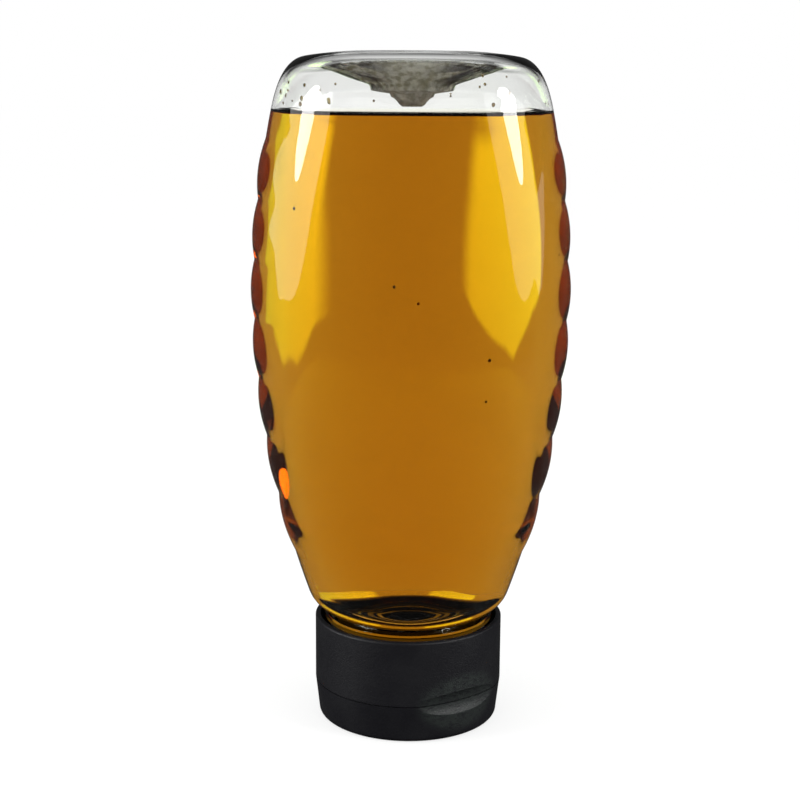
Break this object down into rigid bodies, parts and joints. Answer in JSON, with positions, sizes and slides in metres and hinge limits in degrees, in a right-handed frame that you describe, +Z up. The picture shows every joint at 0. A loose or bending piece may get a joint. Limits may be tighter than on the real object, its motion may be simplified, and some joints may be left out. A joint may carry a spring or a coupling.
{
  "type": "inverted honey squeeze bottle",
  "caption": "Clear oval squeeze bottle of honey with scalloped sides, standing upside down on a black flip-top cap.",
  "frame": {"origin": "centre of the overall box on the floor, under the shut lid", "axes": "+Z up along the bottle, X along the wide side of the oval, the front label panel faces -Y"},
  "size_m": [0.0794, 0.0514, 0.1685],
  "materials": {
    "clear_plastic": "clear, glossy, blown",
    "honey": "clear amber liquid",
    "black_plastic": "satin moulded"
  },
  "bodies": {
    "jar": {"bottle": "clear_plastic", "honey": "honey", "cap_body": "black_plastic"},
    "lid": {"cap_lid": "black_plastic"}
  },
  "joints": [
    {"name": "lid_hinge", "type": "hinge", "parent": "jar", "child": "lid", "pos_m": [-0.01417, 0.02023, 0.00972], "axis": [0.8192, 0.5736, 0], "range_deg": [0, 170]}
  ]
}
